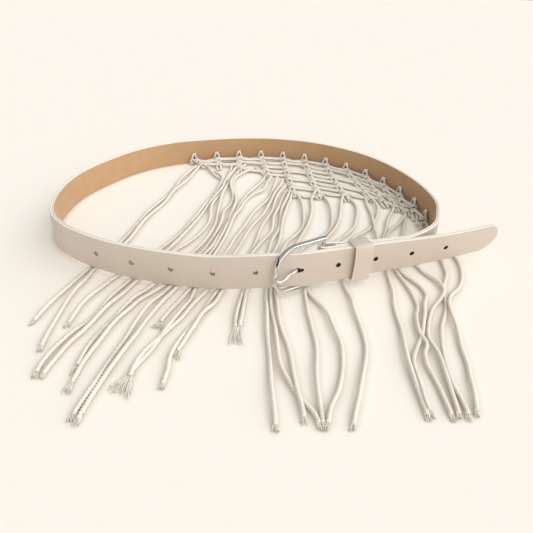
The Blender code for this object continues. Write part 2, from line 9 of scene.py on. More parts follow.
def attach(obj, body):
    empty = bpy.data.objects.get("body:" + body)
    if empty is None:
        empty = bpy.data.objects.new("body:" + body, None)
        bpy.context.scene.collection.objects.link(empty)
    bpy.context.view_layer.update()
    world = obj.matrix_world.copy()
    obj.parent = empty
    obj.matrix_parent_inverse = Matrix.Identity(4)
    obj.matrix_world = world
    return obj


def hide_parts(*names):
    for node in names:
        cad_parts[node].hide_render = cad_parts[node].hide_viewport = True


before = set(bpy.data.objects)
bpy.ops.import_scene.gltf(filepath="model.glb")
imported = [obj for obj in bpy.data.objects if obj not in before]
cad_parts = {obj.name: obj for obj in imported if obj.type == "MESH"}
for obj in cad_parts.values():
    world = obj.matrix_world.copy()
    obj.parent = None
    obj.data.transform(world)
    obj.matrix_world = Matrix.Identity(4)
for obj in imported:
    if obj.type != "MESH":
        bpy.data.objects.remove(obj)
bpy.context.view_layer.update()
rootBody = "root"
mm = 0.001
random.seed(7)
print("frame loaded")

# The belt in plan, in millimetres, as the CAD source has it.
beltSizes = {
    "loopWidth": 312.0,
    "loopDepth": 244.0,
    "middle": (-15.887, 52.478),       # the loop's middle in the row frame
    "floor": 0.07,
    "width": 25.0,
    "leather": 2.06,                  # the outer leather fills the gap to the lining
    "lining": 0.98,
    "liningFrom": 2.1,
    "cordLift": 3.3,
    "frameLift": 6.4,
    "tipRound": 14.0,
    "tipNose": 0.5,
    "tipUpperShare": 0.85,
    "tipFlat": 2.4,
    "edgeRound": 0.55,
    "step": 2.4,
    "sizeHole": 3.6,
    "sizeHoleFirst": 47.3,
    "sizeHolePitch": 28.05,
    "sizeHoles": 10,
    "prongHole": 4,
    "barBehindHole": 19.5,
    "mountHole": 4.2,
    "mountHeight": 10.0,
    "mountPitch": 24.6,
    "mountHoles": 13,
    "lapFrom": 76.8,
    "secondLayer": 3.6,
    "foldRadius": 3.6,
    "foldReturn": 17.0,
    "foldCloses": 3.4,
}

# across and deep as shares of half the loop, rest (0 floor, 1 on cords, 2 on the frame), lean
outline = (
    (1.196, -0.519, 2.00, 6.2), (1.067, -0.594, 2.00, 6.2), (0.929, -0.670, 2.00, 5.8),
    (0.788, -0.739, 2.00, 4.6), (0.609, -0.820, 2.00, 2.8), (0.429, -0.906, 2.00, 0.8),
    (0.256, -0.975, 2.00, 0.0), (0.109, -1.003, 2.00, 0.0), (-0.115, -0.995, 1.00, 0.0),
    (-0.301, -0.968, 1.00, 0.0), (-0.481, -0.916, 1.00, 0.0), (-0.647, -0.839, 1.00, 0.0),
    (-0.814, -0.707, 0.80, 0.0), (-0.936, -0.526, 0.20, 0.0), (-0.990, -0.320, 0.00, 0.0),
    (-1.001, -0.107, 0.00, 0.0), (-0.978, 0.090, 0.00, 0.0), (-0.910, 0.295, 0.00, 0.0),
    (-0.750, 0.602, 0.00, 0.0), (-0.545, 0.806, 0.00, 0.0), (-0.301, 0.923, 0.00, 0.0),
    (-0.032, 0.995, 0.00, 0.0), (0.192, 0.995, 0.00, 0.0), (0.417, 0.928, 0.00, 0.0),
    (0.628, 0.783, 0.00, 0.0), (0.788, 0.594, 0.00, 0.0), (0.917, 0.324, 0.00, 0.0),
    (0.990, 0.041, 0.00, 0.0), (1.002, -0.189, 0.25, 0.0), (0.958, -0.391, 1.20, 0.6),
    (0.883, -0.590, 1.90, 2.0),
)

# where each column of the net ends, across and deep
netFoot = (
    (-0.327, 0.738), (-0.224, 0.713), (-0.083, 0.672), (0.103, 0.582), (0.263, 0.230),
    (0.410, 0.205), (0.571, 0.189), (0.724, 0.180), (0.788, 0.107), (0.846, 0.041),
    (0.891, -0.025), (0.923, -0.090), (0.949, -0.164),
)

# each loose cord's way from the net to its end, across and away in millimetres on the floor
# from the point below the camera, with the kind of end it has
cordWays = (
    ("plain", (-74, 482), (-81, 460), (-87, 433), (-93, 400), (-102, 373), (-106, 350),
     (-110, 327), (-117, 303), (-122, 292), (-127, 278), (-131, 263), (-134, 248), (-138, 231)),
    ("plain", (-71, 482), (-74, 467), (-79, 445), (-86, 420), (-90, 400), (-97, 377), (-101, 357),
     (-106, 327), (-114, 306), (-119, 291), (-121, 274), (-124, 258), (-125, 242), (-124, 222),
     (-123, 210)),
    ("plain", (-63, 482), (-57, 470), (-48, 460), (-44, 452), (-44, 442), (-47, 427), (-50, 413),
     (-53, 397), (-57, 380), (-62, 363), (-68, 342), (-77, 320), (-91, 298), (-103, 280),
     (-108, 268), (-112, 256), (-115, 242), (-116, 230)),
    ("plain", (-62, 479), (-53, 462), (-42, 445), (-43, 428), (-47, 410), (-52, 392), (-56, 373),
     (-60, 355), (-67, 333), (-73, 317), (-83, 296), (-91, 279), (-95, 268), (-99, 255),
     (-104, 239), (-109, 230), (-114, 216), (-118, 201), (-118, 191)),
    ("plain", (-36, 495), (-38, 475), (-39, 453), (-42, 437), (-43, 420), (-47, 400), (-48, 383),
     (-47, 367), (-50, 350), (-57, 333), (-66, 318), (-78, 298), (-86, 279), (-90, 269),
     (-93, 260), (-97, 250), (-100, 240), (-104, 229), (-109, 218), (-113, 201), (-115, 190)),
    ("short", (-28, 493), (-33, 478), (-37, 458), (-38, 443), (-40, 425), (-41, 407), (-42, 383),
     (-41, 363), (-43, 347), (-50, 322), (-62, 298), (-73, 277), (-78, 268), (-83, 259),
     (-88, 247), (-93, 234), (-96, 222), (-98, 208), (-99, 194)),
    ("short", (-23, 492), (-28, 478), (-33, 458), (-35, 443), (-33, 428), (-31, 413), (-32, 397),
     (-36, 380), (-37, 362), (-40, 343), (-45, 322), (-56, 296), (-66, 276), (-74, 265),
     (-79, 259), (-83, 249), (-88, 236), (-92, 222), (-96, 205), (-97, 192), (-98, 182)),
    ("plain", (-13, 482), (-22, 470), (-30, 457), (-33, 442), (-32, 427), (-28, 410), (-27, 397),
     (-30, 380), (-33, 360), (-37, 340), (-42, 319), (-53, 295), (-62, 274), (-67, 263),
     (-73, 249), (-77, 234), (-79, 222), (-82, 206), (-85, 190), (-88, 177), (-90, 165)),
    ("plain", (-12, 480), (-5, 470), (-2, 462), (-7, 445), (-13, 428), (-17, 417), (-23, 400),
     (-27, 380), (-31, 360), (-35, 340), (-39, 319), (-49, 295), (-58, 273), (-62, 263),
     (-67, 251), (-71, 238), (-73, 226), (-77, 211), (-81, 197), (-84, 182), (-87, 163)),
    ("knotty", (5, 462), (0, 445), (-3, 428), (-13, 417), (-20, 403), (-23, 387), (-27, 370),
     (-33, 333), (-36, 318), (-42, 295), (-48, 274), (-53, 261), (-58, 249), (-61, 239),
     (-63, 231)),
    ("open", (10, 458), (8, 442), (5, 425), (1, 408), (-5, 393), (-12, 377), (-18, 358),
     (-23, 340), (-28, 319), (-37, 296), (-45, 273), (-47, 259), (-50, 249), (-54, 238),
     (-58, 228), (-62, 215), (-67, 203), (-70, 193), (-74, 183)),
    ("open", (17, 457), (13, 440), (8, 423), (5, 407), (0, 390), (-5, 373), (-12, 353),
     (-18, 333), (-22, 318), (-30, 296), (-37, 272), (-42, 261), (-46, 251), (-50, 242),
     (-55, 233), (-60, 222), (-65, 211), (-68, 201), (-69, 180)),
    ("plain", (18, 438), (12, 422), (8, 405), (5, 387), (0, 367), (-5, 347), (-11, 318),
     (-22, 292), (-30, 272), (-34, 260), (-38, 247), (-43, 234), (-48, 218), (-50, 209),
     (-50, 201), (-51, 186)),
    ("knotty", (20, 430), (14, 410), (11, 393), (7, 373), (5, 353), (-3, 333), (-9, 316),
     (-19, 293), (-27, 272), (-31, 258), (-37, 247), (-41, 232), (-46, 218), (-50, 208)),
    ("tassel", (22, 428), (18, 408), (14, 390), (12, 370), (10, 350), (5, 333), (2, 317),
     (-6, 294), (-13, 273), (-15, 260), (-16, 247), (-16, 234), (-17, 221)),
    ("tassel", (25, 428), (22, 410), (18, 393), (15, 373), (13, 353), (10, 333), (6, 316),
     (-3, 294), (-11, 273), (-12, 260), (-13, 247), (-14, 234), (-13, 222)),
    ("plain", (29, 424), (32, 400), (33, 380), (31, 363), (25, 347), (17, 332), (10, 310),
     (4, 291), (2, 275), (2, 260), (3, 240), (4, 220), (5, 200), (7, 180), (8, 163)),
    ("plain", (47, 430), (42, 413), (41, 397), (38, 377), (35, 360), (30, 347), (23, 330),
     (13, 305), (6, 285), (5, 275), (5, 260), (7, 240), (9, 220), (11, 205), (16, 192),
     (21, 183), (27, 175), (30, 165)),
    ("plain", (51, 430), (55, 413), (57, 397), (57, 377), (54, 360), (47, 347), (33, 330),
     (18, 305), (10, 287), (8, 274), (9, 260), (11, 240), (15, 220), (17, 205), (19, 190),
     (21, 178), (22, 168)),
    ("plain", (72, 423), (68, 405), (66, 390), (61, 370), (55, 353), (48, 338), (37, 312),
     (30, 292), (28, 275), (28, 260), (30, 240), (31, 220), (30, 200), (30, 180), (31, 165)),
    ("plain", (76, 423), (81, 405), (80, 390), (77, 373), (73, 360), (63, 347), (49, 330),
     (35, 308), (29, 290), (30, 273), (35, 262), (40, 251), (43, 238), (46, 224), (45, 211),
     (43, 200), (40, 188), (35, 177), (32, 165)),
    ("plain", (96, 423), (100, 400), (98, 387), (90, 368), (80, 353), (70, 342), (59, 320),
     (54, 300), (55, 283), (57, 268), (58, 255), (60, 240), (60, 224), (58, 213), (55, 201),
     (51, 187), (47, 176), (44, 165)),
    ("plain", (93, 423), (92, 405), (92, 390), (91, 372), (90, 352), (89, 330), (88, 312),
     (88, 299), (87, 279), (85, 260), (84, 240), (82, 220), (82, 200), (82, 185), (83, 172)),
    ("plain", (117, 407), (112, 393), (105, 377), (100, 360), (95, 348), (92, 330), (93, 312),
     (95, 299), (98, 284), (100, 272), (100, 260), (96, 250), (94, 240), (94, 232), (96, 225),
     (93, 218), (92, 210), (93, 200), (94, 185), (95, 172)),
    ("plain", (120, 383), (112, 369), (102, 357), (96, 345), (95, 330), (96, 312), (98, 299),
     (104, 289), (108, 281), (109, 272), (105, 263), (102, 253), (98, 242), (95, 232),
     (90, 223), (85, 212), (84, 200), (84, 185), (85, 174)),
    ("plain", (124, 392), (119, 376), (113, 357), (108, 335), (110, 316), (114, 301), (121, 288),
     (122, 278), (117, 269), (110, 260), (105, 250), (101, 240), (98, 230), (100, 218),
     (100, 200), (99, 185), (98, 173)),
    ("plain", (131, 376), (129, 358), (130, 338), (132, 318), (131, 303), (129, 294), (125, 286),
     (121, 276), (119, 263), (114, 250), (109, 240), (105, 228), (103, 218), (102, 200),
     (103, 185), (103, 173)),
    ("plain", (134, 372), (138, 352), (143, 330), (144, 310), (140, 295), (134, 283), (125, 272),
     (121, 263), (119, 253), (118, 240), (116, 224), (115, 211), (112, 200), (110, 188),
     (107, 175)),
)

# tufts at the cords' ends: how many fibres, how long, how wide they spread
frayTufts = {
    "plain": {"fibres": 9, "length": 4.5, "spread": 0.30},
    "short": {"fibres": 12, "length": 7.0, "spread": 0.34},
    "knotty": {"fibres": 16, "length": 7.0, "spread": 0.75},
    "tassel": {"fibres": 12, "length": 15.0, "spread": 0.24},
    "open": {"fibres": 18, "length": 15.0, "spread": 0.40},
}


# A smooth curve through rows, whose first two columns are its plan.
def smoothRows(rows, step):
    rows = np.array(rows, float)
    padded = np.vstack([2 * rows[0] - rows[1], rows, 2 * rows[-1] - rows[-2]])
    out = []
    for k in range(1, len(padded) - 2):
        p0, p1, p2, p3 = padded[k - 1:k + 3]
        t1 = math.sqrt(np.linalg.norm((p1 - p0)[:2]))
        t2 = t1 + math.sqrt(np.linalg.norm((p2 - p1)[:2]))
        t3 = t2 + math.sqrt(np.linalg.norm((p3 - p2)[:2]))
        count = max(2, int(round(np.linalg.norm((p2 - p1)[:2]) / step)))
        for t in np.linspace(t1, t2, count, endpoint=False):
            a1 = (t1 - t) / t1 * p0 + t / t1 * p1
            a2 = (t2 - t) / (t2 - t1) * p1 + (t - t1) / (t2 - t1) * p2
            a3 = (t3 - t) / (t3 - t2) * p2 + (t - t2) / (t3 - t2) * p3
            b1 = (t2 - t) / t2 * a1 + t / t2 * a2
            b2 = (t3 - t) / (t3 - t1) * a2 + (t - t1) / (t3 - t1) * a3
            out.append((t2 - t) / (t2 - t1) * b1 + (t - t1) / (t2 - t1) * b2)
    out.append(rows[-1])
    return np.array(out)


# A plan curve read by distance along it, with the inside of the loop on its right.
class Route:
    def __init__(self, rows):
        self.rows = rows
        steps = np.linalg.norm(np.diff(rows[:, :2], axis=0), axis=1)
        self.at = np.concatenate([[0.0], np.cumsum(steps)])
        self.length = self.at[-1]

    def read(self, distance, column):
        return float(np.interp(distance, self.at, self.rows[:, column]))

    def point(self, distance):
        return np.array([self.read(distance, 0), self.read(distance, 1)])

    def heading(self, distance):
        ahead = self.point(min(distance + 1.6, self.length))
        way = ahead - self.point(max(distance - 1.6, 0.0))
        return way / np.linalg.norm(way)

    def inward(self, distance):
        way = self.heading(distance)
        return np.array([way[1], -way[0]])

    def offset(self, distance, depth):
        return self.point(distance) + depth * self.inward(distance)

    def nearest(self, place):
        gaps = np.linalg.norm(self.rows[:, :2] - np.array(place), axis=1)
        return float(self.at[int(np.argmin(gaps))])


def planPoint(across, deep):
    sizes = beltSizes
    return np.array([sizes["middle"][0] + across * 0.5 * sizes["loopWidth"],
                     sizes["middle"][1] + deep * 0.5 * sizes["loopDepth"]])


def liftFor(rest):
    return float(np.interp(rest, (0.0, 1.0, 2.0),
                           (0.0, beltSizes["cordLift"], beltSizes["frameLift"])))


def layBelt():
    sizes = beltSizes
    rows = [(*planPoint(across, deep), liftFor(rest) + sizes["floor"], lean)
            for across, deep, rest, lean in outline]
    loop = Route(smoothRows(rows, 1.5))
    barAt = sizes["sizeHoleFirst"] + sizes["prongHole"] * sizes["sizeHolePitch"]
    barAt -= sizes["barBehindHole"]
    lap = []
    for distance in np.linspace(sizes["lapFrom"], barAt, 7):
        lap.append((*loop.offset(distance, sizes["secondLayer"]),
                    loop.read(distance, 2), loop.read(distance, 3)))
    dense = smoothRows(rows + lap, 1.5)
    radius = sizes["foldRadius"]
    bar = loop.offset(barAt, sizes["secondLayer"] + radius)
    along = loop.heading(barAt)
    inward = loop.inward(barAt)
    fold = []
    for turn in np.linspace(0.0, math.pi, 17)[1:-1]:
        spot = bar + radius * (math.sin(turn) * along - math.cos(turn) * inward)
        fold.append((*spot, sizes["frameLift"] + sizes["floor"], 0.0))
    back = []
    for share in np.linspace(0.0, 1.0, 9):
        distance = barAt - sizes["foldReturn"] * share
        closing = sizes["foldCloses"] * (0.5 - 0.5 * math.cos(math.pi * share))
        back.append((*loop.offset(distance, sizes["secondLayer"] + 2.0 * radius - closing),
                     loop.read(distance, 2), loop.read(distance, 3)))
    whole = Route(np.vstack([dense, fold, back]))
    return loop, whole, Route(dense).length, barAt, bar


loopRoute, beltRoute, foldAt, barAt, barSpot = layBelt()
sizeHolesAt = [beltSizes["sizeHoleFirst"] + k * beltSizes["sizeHolePitch"]
               for k in range(beltSizes["sizeHoles"])]
firstMount = beltRoute.nearest(planPoint(-0.413, 0.877))
mountsAt = [firstMount + k * beltSizes["mountPitch"] for k in range(beltSizes["mountHoles"])]
print("belt laid out, length in mm", round(beltRoute.length, 1))


# Colours and materials.
def linear(hexColour):
    value = hexColour.lstrip("#")
    parts = [int(value[k:k + 2], 16) / 255.0 for k in (0, 2, 4)]
    shown = [c / 12.92 if c <= 0.04045 else ((c + 0.055) / 1.055) ** 2.4 for c in parts]
    return (*shown, 1.0)


def addNode(tree, kind, settings=None, links=None):
    node = tree.nodes.new(kind)
    for name, value in (settings or {}).items():
        if hasattr(node, name) and name not in node.inputs:
            setattr(node, name, value)
        else:
            node.inputs[name].default_value = value
    for name, source in (links or {}).items():
        tree.links.new(source, node.inputs[name])
    return node


def startMaterial(name, settings):
    made = bpy.data.materials.new(name)
    made.use_nodes = True
    shader = made.node_tree.nodes["Principled BSDF"]
    for socket, value in settings.items():
        shader.inputs[socket].default_value = value
    return made, made.node_tree, shader


def mixColours(tree, factor, first, second):
    mix = addNode(tree, "ShaderNodeMix", {"data_type": "RGBA"})
    tree.links.new(factor, mix.inputs[0])
    for socket, value in ((mix.inputs[6], first), (mix.inputs[7], second)):
        if isinstance(value, tuple):
            socket.default_value = value
        else:
            tree.links.new(value, socket)
    return mix.outputs[2]


# How open a point is, 0 in a crevice and 1 in the open, within a reach in mm; it is the mask for
# painted shade.
def openness(tree, reachMm, power):
    near = addNode(tree, "ShaderNodeAmbientOcclusion", {"samples": 8, "Distance": reachMm * mm})
    sharper = addNode(tree, "ShaderNodeMath", {"operation": "POWER"})
    tree.links.new(near.outputs["AO"], sharper.inputs[0])
    sharper.inputs[1].default_value = power
    return sharper.outputs[0]


# Smooth coated leather, finely embossed: a low sheen with a tight pebble grain.
def embossedLeather(name, light, dark, grainMm=0.9):
    made, tree, shader = startMaterial(name, {"Roughness": 0.46, "IOR": 1.5})
    place = addNode(tree, "ShaderNodeTexCoord").outputs["Object"]
    cloud = addNode(tree, "ShaderNodeTexNoise", {"Scale": 1.0 / (22.0 * mm), "Detail": 3.0},
                    {"Vector": place})
    colour = mixColours(tree, cloud.outputs["Fac"], linear(dark), linear(light))
    tree.links.new(colour, shader.inputs["Base Color"])
    grain = addNode(tree, "ShaderNodeTexVoronoi",
                    {"Scale": 1.0 / (grainMm * mm), "feature": "SMOOTH_F1"}, {"Vector": place})
    pores = addNode(tree, "ShaderNodeTexNoise", {"Scale": 1.0 / (0.5 * mm), "Detail": 2.0},
                    {"Vector": place})
    both = addNode(tree, "ShaderNodeMath", {"operation": "MULTIPLY_ADD"})
    tree.links.new(pores.outputs["Fac"], both.inputs[0])
    both.inputs[1].default_value = 0.5
    tree.links.new(grain.outputs["Distance"], both.inputs[2])
    bump = addNode(tree, "ShaderNodeBump", {"Strength": 0.25, "Distance": 0.06 * mm},
                   {"Height": both.outputs[0]})
    tree.links.new(bump.outputs["Normal"], shader.inputs["Normal"])
    return made


# Edge paint: a few coats of cream acrylic, smooth and slightly glossy.
def edgePaint():
    made, tree, shader = startMaterial("creamEdgePaint", {"Roughness": 0.38})
    place = addNode(tree, "ShaderNodeTexCoord").outputs["Object"]
    waves = addNode(tree, "ShaderNodeTexNoise", {"Scale": 1.0 / (2.5 * mm), "Detail": 2.0},
                    {"Vector": place})
    colour = mixColours(tree, waves.outputs["Fac"], linear("#efe7d9"), linear("#fbf6ec"))
    tree.links.new(colour, shader.inputs["Base Color"])
    bump = addNode(tree, "ShaderNodeBump", {"Strength": 0.2, "Distance": 0.12 * mm},
                   {"Height": waves.outputs["Fac"]})
    tree.links.new(bump.outputs["Normal"], shader.inputs["Normal"])
    return made


# Brushed microfibre lining: matt tan with a short nap and a faint cloudiness.
def tanMicrofibre():
    made, tree, shader = startMaterial("tanMicrofibre", {"Roughness": 0.82, "Sheen Weight": 0.15})
    place = addNode(tree, "ShaderNodeTexCoord").outputs["Object"]
    cloud = addNode(tree, "ShaderNodeTexNoise", {"Scale": 1.0 / (9.0 * mm), "Detail": 6.0,
                                                "Roughness": 0.65}, {"Vector": place})
    colour = mixColours(tree, cloud.outputs["Fac"], linear("#b38d65"), linear("#c8a37c"))
    tree.links.new(colour, shader.inputs["Base Color"])
    nap = addNode(tree, "ShaderNodeTexNoise", {"Scale": 1.0 / (0.45 * mm), "Detail": 4.0},
                  {"Vector": place})
    bump = addNode(tree, "ShaderNodeBump", {"Strength": 0.35, "Distance": 0.1 * mm},
                   {"Height": nap.outputs["Fac"]})
    tree.links.new(bump.outputs["Normal"], shader.inputs["Normal"])
    return made


# Chrome over cast zinc: a bright mirror, a little rippled from polishing.
def polishedChrome(name):
    made, tree, shader = startMaterial(name, {"Metallic": 1.0, "Base Color": linear("#e2e0dd")})
    place = addNode(tree, "ShaderNodeTexCoord").outputs["Object"]
    haze = addNode(tree, "ShaderNodeTexNoise", {"Scale": 1.0 / (3.0 * mm), "Detail": 3.0},
                   {"Vector": place})
    rough = addNode(tree, "ShaderNodeMapRange", {"To Min": 0.06, "To Max": 0.2},
                    {"Value": haze.outputs["Fac"]})
    tree.links.new(rough.outputs["Result"], shader.inputs["Roughness"])
    bump = addNode(tree, "ShaderNodeBump", {"Strength": 0.12, "Distance": 0.15 * mm},
                   {"Height": haze.outputs["Fac"]})
    tree.links.new(bump.outputs["Normal"], shader.inputs["Normal"])
    return made


# Twisted cotton: soft, matt and off white, with stray fibres that blur its highlights, and painted
# shade that darkens its crevices.
def cottonCord(name, creviceShade, power):
    made, tree, shader = startMaterial(name, {"Roughness": 0.92, "Sheen Weight": 0.1,
                                                        "Specular IOR Level": 0.25})
    place = addNode(tree, "ShaderNodeTexCoord").outputs["Object"]
    tone = addNode(tree, "ShaderNodeTexNoise", {"Scale": 1.0 / (7.0 * mm), "Detail": 3.0},
                   {"Vector": place})
    clean = mixColours(tree, tone.outputs["Fac"], linear("#f6eddf"), linear("#fffaf0"))
    # Painted shade: where the ambient occlusion finds a crevice, the colour turns to the crevice
    # shade colour.
    colour = mixColours(tree, openness(tree, 3.2, power), linear(creviceShade), clean)
    tree.links.new(colour, shader.inputs["Base Color"])
    fibre = addNode(tree, "ShaderNodeTexNoise", {"Scale": 1.0 / (0.35 * mm), "Detail": 3.0},
                    {"Vector": place})
    bump = addNode(tree, "ShaderNodeBump", {"Strength": 0.4, "Distance": 0.12 * mm},
                   {"Height": fibre.outputs["Fac"]})
    tree.links.new(bump.outputs["Normal"], shader.inputs["Normal"])
    return made


outerLeather = embossedLeather("greigeCoatedLeather", "#d3c6b8", "#cabcac")
keeperLeather = embossedLeather("greigeKeeperLeather", "#d6c9bb", "#cdbfae")
cutLeather = embossedLeather("cutLeatherEdge", "#b5a48e", "#9f8d76", 0.5)
# A darker copy of the cut leather: painted shade for the walls of holes that have a second layer
# behind them.
shadedCut = embossedLeather("shadedCutLeather", "#5a4938", "#453629", 0.5)
paintedEdge = edgePaint()
tanLining = tanMicrofibre()
frameMetal = polishedChrome("polishedChromeFrame")
prongMetal = polishedChrome("polishedChromeProng")
# The net's copy has darker, stronger painted shade in its crevices than the loose cords' copy.
netCotton = cottonCord("knottedCotton", "#93826b", 0.85)
looseCotton = cottonCord("twistedCotton", "#c6b8a4", 0.8)
print("materials made")


# Mesh tools. A skin is a grid whose points are moved to places[along][around], in mm.
def gridSkin(bm, places, ringClosed=True, routeClosed=False, capped=True):
    places = np.asarray(places) * mm
    along, around = places.shape[:2]
    cellsAlong = along if routeClosed else along - 1
    cellsAround = around if ringClosed else around - 1
    made = bmesh.ops.create_grid(bm, x_segments=cellsAlong, y_segments=cellsAround, size=1.0)
    merge = {}
    firsts = {}
    spots = []
    for vert in made["verts"]:
        i = int(round((vert.co.x + 1.0) * 0.5 * cellsAlong))
        j = int(round((vert.co.y + 1.0) * 0.5 * cellsAround))
        spots.append((vert, i, j))
        firsts[(i, j)] = vert
    for vert, i, j in spots:
        vert.co = places[i % along, j % around]
        home = (i % along if routeClosed else i, j % around if ringClosed else j)
        if home != (i, j):
            merge[vert] = firsts[home]
    faces = list({face for vert, i, j in spots for face in vert.link_faces})
    if merge:
        bmesh.ops.weld_verts(bm, targetmap=merge)
        faces = [face for face in faces if face.is_valid]
    if capped and not routeClosed:
        rims = [edge for face in faces for edge in face.edges if edge.is_boundary]
        filled = bmesh.ops.holes_fill(bm, edges=list(set(rims)), sides=0)
        faces += filled["faces"]
    return faces


def finishPiece(bm, name, materials, sharp=None, replaced=()):
    bmesh.ops.recalc_face_normals(bm, faces=bm.faces[:])
    mesh = bpy.data.meshes.new(name)
    bm.to_mesh(mesh)
    bm.free()
    for each in materials:
        mesh.materials.append(each)
    mesh.shade_smooth()
    if sharp is not None:
        mesh.set_sharp_from_angle(angle=math.radians(sharp))
    made = bpy.data.objects.new(name, mesh)
    bpy.context.scene.collection.objects.link(made)
    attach(made, rootBody)
    if replaced:
        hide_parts(*replaced)
    return made


def cutAway(piece, bm, label, surface):
    bmesh.ops.recalc_face_normals(bm, faces=bm.faces[:])
    mesh = bpy.data.meshes.new(label)
    bm.to_mesh(mesh)
    bm.free()
    cutter = bpy.data.objects.new(label, mesh)
    bpy.context.scene.collection.objects.link(cutter)
    change = piece.modifiers.new(label, "BOOLEAN")
    change.operation = "DIFFERENCE"
    change.solver = "EXACT"
    change.object = cutter
    mesh.materials.append(surface)
    change.material_mode = "TRANSFER"
    bpy.context.view_layer.update()
    done = bpy.data.meshes.new_from_object(piece.evaluated_get(bpy.context.evaluated_depsgraph_get()))
    piece.modifiers.remove(change)
    piece.data = done
    done.set_sharp_from_angle(angle=math.radians(38))
    bpy.data.objects.remove(cutter, do_unlink=True)


def evenly(points, step):
    points = np.array(points, float)
    runs = np.concatenate([[0.0], np.cumsum(np.linalg.norm(np.diff(points, axis=0), axis=1))])
    count = max(3, int(round(runs[-1] / step)) + 1)
    marks = np.linspace(0.0, runs[-1], count)
    return np.stack([np.interp(marks, runs, points[:, k]) for k in range(3)], axis=1), marks


def tangents(points):
    ways = np.gradient(points, axis=0)
    return ways / np.linalg.norm(ways, axis=1)[:, None]


# A bar along points with a section given as (side, up) in mm, scaled by swell where given.
def sweepBar(bm, points, section, up, swell=None, closed=False):
    points = np.array(points, float)
    ways = tangents(points)
    if closed:
        ways = np.roll(points, -1, axis=0) - np.roll(points, 1, axis=0)
        ways = ways / np.linalg.norm(ways, axis=1)[:, None]
    ups = np.broadcast_to(np.array(up, float), points.shape)
    sides = np.cross(ways, ups)
    sides = sides / np.linalg.norm(sides, axis=1)[:, None]
    tops = np.cross(sides, ways)
    scale = np.ones(len(points)) if swell is None else np.array(swell)
    section = np.array(section, float)
    places = (points[:, None, :]
              + sides[:, None, :] * (section[:, 0][None, :] * scale[:, None])[:, :, None]
              + tops[:, None, :] * (section[:, 1][None, :] * scale[:, None])[:, :, None])
    return gridSkin(bm, places, routeClosed=closed)


# Rope: plies that wind round each other, as a lobed section turned along the way.
def layRope(bm, points, radius, pitch=5.4, phase=0.0, plies=3, around=12, step=0.5, up=(0, 0, 1),
            groove=0.30, swell=None):
    points, marks = evenly(points, step)
    ways = tangents(points)
    sides = np.cross(ways, np.array(up, float))
    sides = sides / np.linalg.norm(sides, axis=1)[:, None]
    tops = np.cross(sides, ways)
    steps = np.arange(around) * 2.0 * math.pi / around
    lobes = radius * (1.0 - groove * (0.5 - 0.5 * np.cos(plies * steps)))
    angles = steps[None, :] + (2.0 * math.pi * marks / pitch + phase)[:, None]
    scale = np.ones(len(points)) if swell is None else np.interp(
        marks / marks[-1], np.linspace(0.0, 1.0, len(swell)), swell)
    reach = lobes[None, :] * scale[:, None]
    places = (points[:, None, :] + sides[:, None, :] * (reach * np.cos(angles))[:, :, None]
              + tops[:, None, :] * (reach * np.sin(angles))[:, :, None])
    return gridSkin(bm, places)


def roundedSection(width, height, radius, segments=3):
    out = []
    for quarter, (a, b) in enumerate(((1, 1), (-1, 1), (-1, -1), (1, -1))):
        for k in range(segments + 1):
            turn = 0.5 * math.pi * (quarter + k / segments)
            out.append((a * (0.5 * width - radius) + radius * math.cos(turn),
                        b * (0.5 * height - radius) + radius * math.sin(turn)))
    return out


# Camera: fitted to the strap's edges, holes and net in the photograph.
cameraSizes = {
    "place": (-0.887, -338.52, 204.07),
    "pitch": 24.84,
    "roll": 1.84,
    "focalPixels": 498.0,
    "imagePixels": 533.0,
    "shiftY": -0.150,
}


def addCamera():
    data = bpy.data.cameras.new("photoCamera")
    data.sensor_fit = "HORIZONTAL"
    data.sensor_width = 36.0
    data.lens = 36.0 * cameraSizes["focalPixels"] / cameraSizes["imagePixels"]
    data.shift_y = cameraSizes["shiftY"]
    data.clip_start = 0.01
    camera = bpy.data.objects.new("photoCamera", data)
    pitch = math.radians(cameraSizes["pitch"])
    roll = math.radians(cameraSizes["roll"])
    forward = Vector((0.0, math.cos(pitch), -math.sin(pitch)))
    level = Vector((1.0, 0.0, 0.0))
    upright = Vector((0.0, math.sin(pitch), math.cos(pitch)))
    right = math.cos(roll) * level + math.sin(roll) * upright
    top = -math.sin(roll) * level + math.cos(roll) * upright
    turn = Matrix((right, top, -forward)).transposed()
    camera.matrix_world = Matrix.Translation(Vector(cameraSizes["place"]) * mm) @ turn.to_4x4()
    bpy.context.scene.collection.objects.link(camera)
    bpy.context.scene.camera = camera


# Floor, sky and lamps.
studioSizes = {
    "floorSide": 6.0,
    "floorColour": "#fdf6ec",
    "floorGlow": 0.3,
    "shadeColour": "#c4b5a1",
    "shadeReach": 4.5,
    "skyStrength": 0.42,
    "lamps": {
        "softKey": {"strength": 1.95, "spread": 75.0, "from": (0.76, 0.10, 0.64)},
        "frontFill": {"strength": 1.3, "spread": 60.0, "from": (0.22, -0.86, 0.46)},
    },
}


